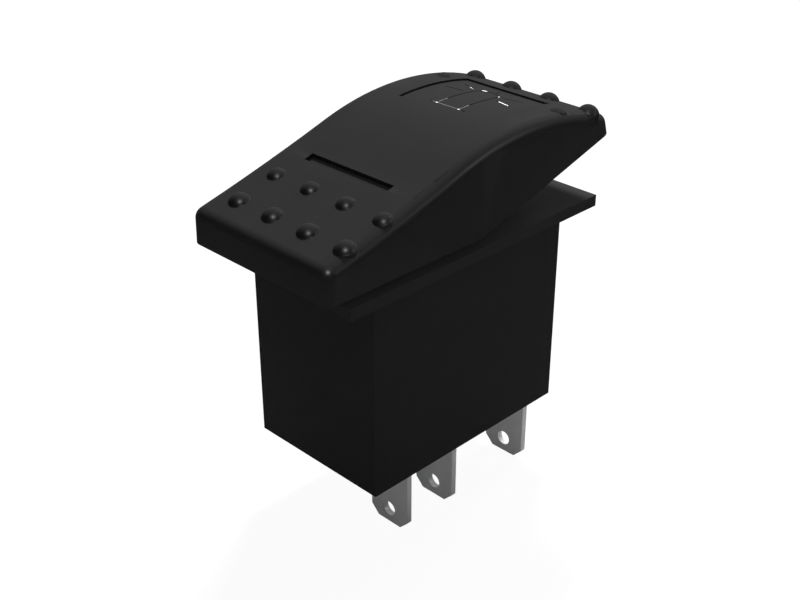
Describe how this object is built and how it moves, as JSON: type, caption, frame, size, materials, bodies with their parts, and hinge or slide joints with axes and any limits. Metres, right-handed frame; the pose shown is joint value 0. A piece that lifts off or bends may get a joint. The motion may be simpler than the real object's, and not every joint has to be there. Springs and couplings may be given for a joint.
{
  "type": "panel rocker switch",
  "caption": "Snap-in panel rocker switch, single pole: tall case with a flange, a long humped rocker with grip bumps, a sprung plunger over a see-saw contact, and three quick-connect blades.",
  "frame": {"origin": "middle of the panel opening, on the panel's front face", "axes": "+X towards the rocker's upper end with the legend window, +Y across to the operator's left, +Z out of the panel"},
  "size_m": [0.0484, 0.0244, 0.0504],
  "materials": {
    "case_plastic": "black moulded nylon, satin",
    "bezel_plastic": "black moulded nylon, satin",
    "rocker_plastic": "black moulded plastic, fine satin texture",
    "insert_plastic": "black moulded plastic, smooth",
    "pin_steel": "drawn steel",
    "plunger_plastic": "natural acetal",
    "spring_steel": "spring wire",
    "contact_copper": "rolled copper alloy strip",
    "contact_silver": "silver alloy contact face",
    "terminal_brass": "tin-plated brass strip, dull grey"
  },
  "bodies": {
    "switch_frame": {"case": "case_plastic", "bezel": "bezel_plastic", "pivot_pin_left": "pin_steel", "pivot_pin_right": "pin_steel", "common_terminal": "terminal_brass", "lower_terminal": "terminal_brass", "upper_terminal": "terminal_brass", "fixed_contact_lower": "contact_silver", "fixed_contact_upper": "contact_silver"},
    "rocker_assembly": {"rocker": "rocker_plastic", "legend_insert": "insert_plastic", "marker_insert": "insert_plastic", "plunger_spring": "spring_steel"},
    "plunger_slider": {"plunger": "plunger_plastic"},
    "seesaw_arm": {"seesaw": "contact_copper", "moving_contact_lower": "contact_silver", "moving_contact_upper": "contact_silver"}
  },
  "joints": [
    {"name": "rocker_tilt", "type": "hinge", "parent": "switch_frame", "child": "rocker_assembly", "pos_m": [0, 0, 0.0044], "axis": [0, 1, 0], "range_deg": [0, 16]},
    {"name": "plunger_slide", "type": "slide", "parent": "rocker_assembly", "child": "plunger_slider", "axis": [-0.1392, 0, 0.9903], "range_m": [0, 0.0005], "stiffness_N_per_m": 400, "springref_m": -0.003, "deforming": ["plunger_spring"]},
    {"name": "seesaw_tilt", "type": "hinge", "parent": "switch_frame", "child": "seesaw_arm", "pos_m": [0, -0.006, -0.01335], "axis": [0, 1, 0], "range_deg": [-12, 0]}
  ],
  "couplings": [
    {"joint": "seesaw_tilt", "follows": "rocker_tilt", "ratio": -0.75}
  ]
}
